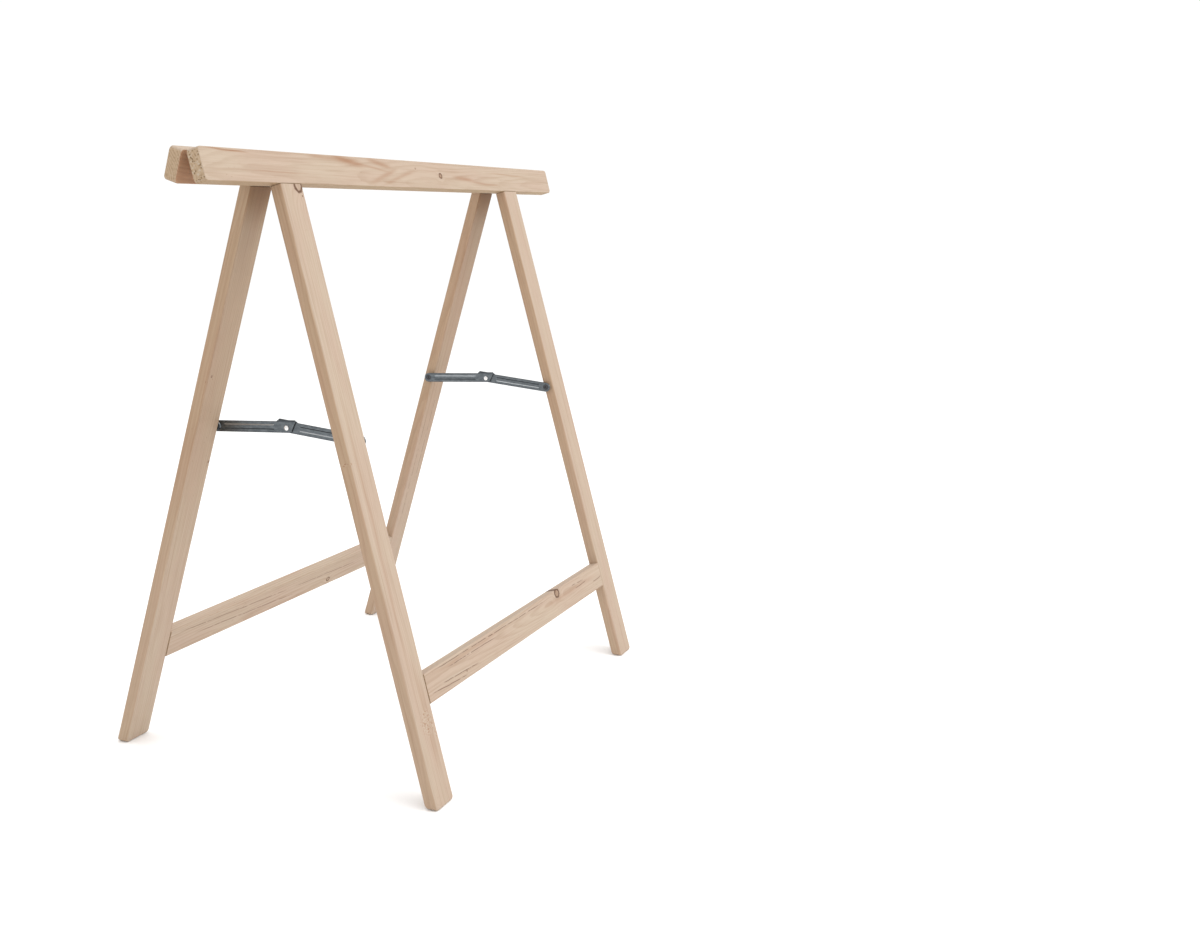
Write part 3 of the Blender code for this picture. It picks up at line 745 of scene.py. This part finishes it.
def link_steel(node, settings):
    """Pressed strip: a painted highlight on the upward slopes of the rib, painted shade on its downward slopes,
    darkened edges, a dark ring round the pivot screw and dirt specks.
    """
    recipe = material_recipe(node)
    pivot, along, across = link_frame(node)
    local = recipe.in_millimetres(pivot, along, across, along.cross(across))
    run, rise, _ = recipe.parts_of(local)
    upwards = recipe.facing(across)
    patches = recipe.noise(recipe.stretch(local, (0.16, 0.4, 0.4)), 1.0, 3.0, 0.6)
    drawn = recipe.noise(recipe.stretch(local, (0.05, 2.4, 2.4)), 1.0, 2.0, 0.6)
    grit = recipe.noise(recipe.stretch(local, (1.1, 1.1, 1.1)), 1.0, 3.0, 0.7)
    inside = 1 - abs(rise).rise(*RIB_ZONE)
    # painted highlight on the rib's upward-facing slopes, growing towards the knuckle
    rib_highlight = upwards.rise(*SHOULDER) * inside * (run.rise(*HIGHLIGHT_STRETCH) * 0.45 + 0.55)
    # painted shade on the rib's downward-facing slopes
    darkening = (upwards * -1).rise(*SHOULDER) * inside
    # the strip's edges and a ring round the pivot screw's head are darkened
    rim = abs(rise).rise(*RIM_ZONE) * 0.6
    from_pivot = (run * run + rise * rise).root()
    screw_ring = from_pivot.rise(3.5, 3.9) * (1 - from_pivot.rise(4.2, 4.8)) * 0.8
    colour = recipe.mix(patches.rise(0.3, 0.7), settings.stay_colour, settings.stay_shade)
    colour = recipe.tint(colour, 0.84 + drawn * 0.32)
    colour = recipe.mix(grit.rise(0.62, 0.74) * 0.4, colour, settings.stay_dirt_and_shade)
    # the painted shade, the darkened edges and the screw ring take the colour of dirt and shade
    colour = recipe.mix(darkening.at_least(rim).at_least(screw_ring), colour, settings.stay_dirt_and_shade)
    # the painted highlight
    colour = recipe.mix(rib_highlight, colour, settings.stay_rib_highlight)
    roughness = (patches - 0.5) * 0.2 + 0.42 - rib_highlight * 0.04 + darkening * 0.2
    recipe.set_plain("Metallic", 1.0)
    return recipe.finish(colour, roughness, recipe.bump(drawn * 0.5 + grit * 0.4, 0.4, PLATING))


def beech(settings):
    """Turned hardwood for the dowels, with short dark flecks and pressed flutes."""
    recipe = material_recipe("dowel_beech")
    point = recipe.stretch(recipe.place(), (1 / MM,) * 3)
    flecks = recipe.cells(recipe.stretch(point, (0.8, 0.8, 0.25)))
    fibre = recipe.noise(recipe.stretch(point, (1.6, 1.6, 0.2)), 1.0, 3.0, 0.6)
    colour = recipe.mix(fibre.rise(0.3, 0.7), settings.beech_dark, settings.beech)
    colour = recipe.mix((1 - flecks.rise(0.08, 0.3)) * 0.5, colour, settings.beech_fleck)
    normal = recipe.bump(fibre - flecks * 0.3, 0.4, 0.0002)
    return recipe.finish(colour, fibre * 0.15 + 0.6, normal)


def finish_shading(piece):
    deselect_all()
    piece.select_set(True)
    bpy.context.view_layer.objects.active = piece
    bpy.ops.object.shade_smooth_by_angle(angle=SMOOTH_ANGLE)
    weighted = piece.modifiers.new("even_faces", "WEIGHTED_NORMAL")
    weighted.keep_sharp = True
    bpy.ops.object.modifier_apply(modifier=weighted.name)


def refined(node, width, segments=2):
    """A copy of a CAD node with its triangles merged and its edges rounded."""
    deselect_all()
    piece = bpy.data.objects.new(f"{node}_finished", frame["nodes"][node].data.copy())
    piece.data.name = piece.name
    piece.data.materials.clear()
    bpy.context.scene.collection.objects.link(piece)
    piece.select_set(True)
    bpy.context.view_layer.objects.active = piece
    edit("VERT")
    bpy.ops.mesh.select_all(action="SELECT")
    bpy.ops.mesh.customdata_custom_splitnormals_clear()
    bpy.ops.mesh.remove_doubles(threshold=MERGE_DISTANCE)
    bpy.ops.mesh.dissolve_limited(angle_limit=FLAT_ANGLE)
    leave_edit()
    bevel = piece.modifiers.new("worn_edges", "BEVEL")
    bevel.width = width
    bevel.segments = segments
    bevel.limit_method = "ANGLE"
    bevel.angle_limit = SHARP_ANGLE
    bevel.harden_normals = False
    bpy.ops.object.modifier_apply(modifier=bevel.name)
    finish_shading(piece)
    return piece


def settle(piece, material, *nodes):
    """Gives a finished piece its material and puts it in the place of its CAD nodes."""
    piece.data.materials.clear()
    piece.data.materials.append(material)
    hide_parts(*nodes)
    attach(piece, BODIES[nodes[0]])


def nodes_ending(*words):
    return [node for node in sorted(frame["nodes"]) if node.rsplit("_", 1)[-1] in words]


def nodes_with(word):
    return [node for node in sorted(frame["nodes"]) if word in node]


# Settings


def colour_property(name, description, default):
    return bpy.props.FloatVectorProperty(
        name=name, description=description, default=default, size=3,
        subtype="COLOR", min=0.0, max=1.0,
    )


def length_property(name, description, default):
    return bpy.props.FloatProperty(
        name=name, description=description, default=default, min=0.0,
        unit="LENGTH", precision=5,
    )


class BoardSettings(bpy.types.PropertyGroup):
    corner_radius: length_property("Corner radius", "Rounding of the boards' free corners", 0.005)
    edge_radius: length_property("Edge radius", "Rounding along the rails' edges", 0.0013)
    leg_edge_radius: length_property("Leg edge radius", "Rounding along the legs' edges", 0.0028)
    butt_easing: length_property("Butt easing", "Rounding where one board meets another", 0.0004)
    early_wood: colour_property("Early wood", "Pale wood of spring", (0.44, 0.347, 0.262))
    pinkish_wood: colour_property("Pinkish wood", "Pale wood with a pink cast",
                                  (0.43, 0.317, 0.242))
    pale_wood: colour_property("Pale wood", "The palest streaks", (0.50, 0.415, 0.325))
    late_wood: colour_property("Late wood", "Denser wood of the ring lines",
                               (0.27, 0.165, 0.095))
    resin: colour_property("Resin", "Resin streaks and stains", (0.285, 0.14, 0.070))
    knot_wood: colour_property("Knot", "Inside of a knot", (0.20, 0.10, 0.045))
    knot_rim: colour_property("Knot rim", "Bark ring of a knot, and cracks", (0.10, 0.045, 0.02))
    # the edge, under, crevice, inner and rail shade below are tints of painted shade, where less light falls
    edge_shade: colour_property("Edge shade", "Tint of the boards' sawn edges",
                                (0.94, 0.83, 0.71))
    under_shade: colour_property("Under shade", "Tint of the rails' and stretchers' lower edges",
                                 (0.78, 0.70, 0.55))
    crevice_shade: colour_property("Crevice shade", "Tint of the legs close under a rail",
                                   (0.74, 0.61, 0.47))
    inner_shade: colour_property("Inner shade", "Tint of the unplaned inner faces",
                                 (0.89, 0.83, 0.77))
    rail_shade: colour_property("Rail shade", "Tint of the rails' inner faces",
                                (0.86, 0.64, 0.49))
    end_grain: colour_property("End grain", "Sawn ends of the boards", (0.47, 0.345, 0.225))
    end_pits: colour_property("End pits", "Pits of the ragged ends", (0.23, 0.15, 0.078))
    beech: colour_property("Beech", "Turned wood of the dowels", (0.66, 0.46, 0.29))
    beech_dark: colour_property("Dark beech", "Denser fibres of it", (0.56, 0.36, 0.21))
    beech_fleck: colour_property("Beech flecks", "Short flecks in it", (0.30, 0.16, 0.08))
    dowel_edge: length_property("Dowel edge", "Rounding of the dowels' edges", 0.0002)


class SteelSettings(bpy.types.PropertyGroup):
    stay_colour: colour_property("Stays", "Plated steel of the stays", (0.168, 0.185, 0.198))
    stay_shade: colour_property("Stays' patches", "Darker patches of it", (0.11, 0.125, 0.136))
    # colour of the painted highlight on the upward slopes of the stays' ribs
    stay_rib_highlight: colour_property("Stays' polish", "Worn shoulders of the rib", (0.68, 0.71, 0.74))
    # colour of the dirt specks, and of the painted shade on the ribs' downward slopes, the darkened strip edges
    # and the screw rings
    stay_dirt_and_shade: colour_property("Stays' dirt", "Dirt in the corners", (0.035, 0.038, 0.042))
    hinge_colour: colour_property("Hinges", "Zinc plate of the hinges", (0.46, 0.455, 0.44))
    rivet_colour: colour_property("Rivets", "Bright heads of the rivets", (0.95, 0.93, 0.92))
    screw_colour: colour_property("Screws", "Dark plate of the screws", (0.11, 0.11, 0.115))
    worn_edge: length_property("Worn edge", "Rounding of the stays' pressed edges", 0.00022)
    hinge_edge: length_property("Hinge edge", "Rounding of the hinges' edges", 0.00015)
    rivet_edge: length_property("Rivet edge", "Rounding of the rivets' edges", 0.00012)
    screw_edge: length_property("Screw edge", "Rounding of the screws' edges", 0.0001)


class StudioSettings(bpy.types.PropertyGroup):
    floor_colour: colour_property("Floor", "Colour of the studio floor", (0.985, 0.985, 0.985))
    floor_size: length_property("Floor size", "Side of the studio floor", 12.0)
    key_power: bpy.props.FloatProperty(
        name="Key light", description="Power of the large lamp on the front side",
        default=46.0, min=0.0, unit="POWER",
    )
    top_power: bpy.props.FloatProperty(
        name="Top light", description="Power of the large lamp above",
        default=40.0, min=0.0, unit="POWER",
    )
    key_size: length_property("Key size", "Side of the lamp on the front side", 2.6)
    top_size: length_property("Top size", "Side of the lamp above", 3.4)
    sky_colour: colour_property("Sky colour", "Colour of the even light", (1.0, 1.0, 1.0))
    sky_strength: bpy.props.FloatProperty(
        name="Sky", description="Strength of the even light all round", default=1.03, min=0.0
    )
    lens: bpy.props.FloatProperty(
        name="Lens", description="Focal length of the camera in millimetres",
        default=39.105, min=1.0,
    )


# Operators


class SAWHORSE_OT_boards(bpy.types.Operator):
    """Saws the rails, legs and stretchers and gives each its own grain"""

    bl_idname = "sawhorse.boards"
    bl_label = "Boards"

    def execute(self, context):
        settings = context.scene.sawhorse_boards
        for node in nodes_ending("rail", "leg", "stretcher"):
            board = board_of(node)
            settle(make_board(board, settings), pine(board, settings), node)
        return {"FINISHED"}


class SAWHORSE_OT_dowels(bpy.types.Operator):
    """Rounds and finishes the dowels inside the joints"""

    bl_idname = "sawhorse.dowels"
    bl_label = "Dowels"

    def execute(self, context):
        settings = context.scene.sawhorse_boards
        material = beech(settings)
        for node in nodes_with("dowel"):
            settle(refined(node, settings.dowel_edge), material, node)
        return {"FINISHED"}


class SAWHORSE_OT_hinges(bpy.types.Operator):
    """Finishes the leaves and pins of the hinges between the rails"""

    bl_idname = "sawhorse.hinges"
    bl_label = "Hinges"

    def execute(self, context):
        settings = context.scene.sawhorse_steel
        zinc = settings.hinge_colour
        plate = Steel(zinc, zinc * 0.8, roughness=0.34, mottle=5.0, bump=0.3)
        material = steel("hinge_zinc", plate)
        for node in nodes_ending("leaf", "pin"):
            settle(refined(node, settings.hinge_edge), material, node)
        return {"FINISHED"}


class SAWHORSE_OT_stays(bpy.types.Operator):
    """Finishes the pressed links of the stays and the spacers behind them"""

    bl_idname = "sawhorse.stays"
    bl_label = "Stays"

    def execute(self, context):
        settings = context.scene.sawhorse_steel
        for node in nodes_ending("link"):
            piece = refined(node, settings.worn_edge, segments=3)
            settle(piece, link_steel(node, settings), node)
        dark = settings.stay_shade
        plate = Steel(settings.stay_colour, dark, roughness=0.36, mottle=3.0, bump=0.5)
        material = steel("spacer_steel", plate, scratch_way="y")
        for node in nodes_ending("spacer"):
            settle(refined(node, settings.worn_edge), material, node)
        return {"FINISHED"}


class SAWHORSE_OT_fixings(bpy.types.Operator):
    """Finishes the rivets of the stays and all of the screws"""

    bl_idname = "sawhorse.fixings"
    bl_label = "Rivets and screws"

    def execute(self, context):
        settings = context.scene.sawhorse_steel
        bright = settings.rivet_colour
        dark = settings.screw_colour
        rivet = Steel(bright, bright * 0.8, roughness=0.28, mottle=1.5, bump=0.3)
        screw = Steel(dark, dark * 0.6, roughness=0.4, mottle=1.5, bump=0.4)
        rivet_material = steel("rivet_steel", rivet)
        screw_material = steel("screw_steel", screw)
        for node in nodes_with("rivet"):
            settle(refined(node, settings.rivet_edge), rivet_material, node)
        for node in nodes_with("screw"):
            settle(refined(node, settings.screw_edge), screw_material, node)
        return {"FINISHED"}


class SAWHORSE_OT_studio(bpy.types.Operator):
    """Lays the floor and sets the lights and the camera"""

    bl_idname = "sawhorse.studio"
    bl_label = "Studio"

    def execute(self, context):
        settings = context.scene.sawhorse_studio
        lay_floor(settings)
        sky = Recipe(bpy.data.worlds.new("studio_sky"), "Background")
        sky.set_plain("Color", settings.sky_colour)
        sky.set_plain("Strength", settings.sky_strength)
        context.scene.world = sky.owner
        add_lamp("key_lamp", KEY_PLACE, settings.key_power, settings.key_size)
        add_lamp("top_lamp", TOP_PLACE, settings.top_power, settings.top_size)
        set_camera(settings)
        context.scene.view_settings.view_transform = "Standard"
        return {"FINISHED"}


def lay_floor(settings):
    deselect_all()
    height = CAD_BOX[0].z - FLOOR_GAP
    bpy.ops.mesh.primitive_plane_add(size=settings.floor_size, location=(0, 0, height))
    floor = bpy.context.object
    floor.name = "studio_floor"
    recipe = material_recipe("studio_floor_paint")
    cloud = recipe.noise(recipe.place(), 1.4, 3.0, 0.5)
    colour = recipe.mix(cloud, settings.floor_colour, settings.floor_colour * 0.985)
    floor.data.materials.append(recipe.finish(colour, 0.8 + cloud * 0.1))


def add_lamp(name, place, power, size):
    light = bpy.data.lights.new(name, "AREA")
    light.energy = power
    light.size = size
    lamp = bpy.data.objects.new(name, light)
    bpy.context.scene.collection.objects.link(lamp)
    lamp.location = place
    aim = Vector((0, 0, CAD_BOX[1].z / 2)) - Vector(place)
    lamp.rotation_euler = aim.to_track_quat("-Z", "Y").to_euler()


def set_camera(settings):
    camera = bpy.data.objects.new("camera", bpy.data.cameras.new("camera"))
    bpy.context.scene.collection.objects.link(camera)
    camera.location = CAMERA_PLACE
    camera.rotation_euler = CAMERA_TURN
    camera.data.lens = settings.lens
    camera.data.sensor_width = SENSOR_WIDTH
    bpy.context.scene.camera = camera


OPERATORS = (
    SAWHORSE_OT_boards,
    SAWHORSE_OT_dowels,
    SAWHORSE_OT_hinges,
    SAWHORSE_OT_stays,
    SAWHORSE_OT_fixings,
    SAWHORSE_OT_studio,
)


class SAWHORSE_PT_panel(bpy.types.Panel):
    """Lists the sawhorse's pieces in the sidebar"""

    bl_idname = "SAWHORSE_PT_panel"
    bl_label = "Folding sawhorse"
    bl_space_type = "VIEW_3D"
    bl_region_type = "UI"
    bl_category = "Sawhorse"

    def draw(self, context):
        for operator in OPERATORS:
            self.layout.operator(operator.bl_idname)
        for settings in (
            context.scene.sawhorse_boards,
            context.scene.sawhorse_steel,
            context.scene.sawhorse_studio,
        ):
            for name in settings.bl_rna.properties.keys():
                if name not in ("rna_type", "name"):
                    self.layout.prop(settings, name)


CLASSES = (BoardSettings, SteelSettings, StudioSettings, *OPERATORS, SAWHORSE_PT_panel)


def register():
    for made in CLASSES:
        bpy.utils.register_class(made)
    scene = bpy.types.Scene
    scene.sawhorse_boards = bpy.props.PointerProperty(type=BoardSettings)
    scene.sawhorse_steel = bpy.props.PointerProperty(type=SteelSettings)
    scene.sawhorse_studio = bpy.props.PointerProperty(type=StudioSettings)


def unregister():
    for name in ("sawhorse_boards", "sawhorse_steel", "sawhorse_studio"):
        delattr(bpy.types.Scene, name)
    for made in reversed(CLASSES):
        bpy.utils.unregister_class(made)


def main():
    register()
    for operator in OPERATORS:
        group, name = operator.bl_idname.split(".")
        getattr(getattr(bpy.ops, group), name)()


if __name__ == "__main__":
    main()
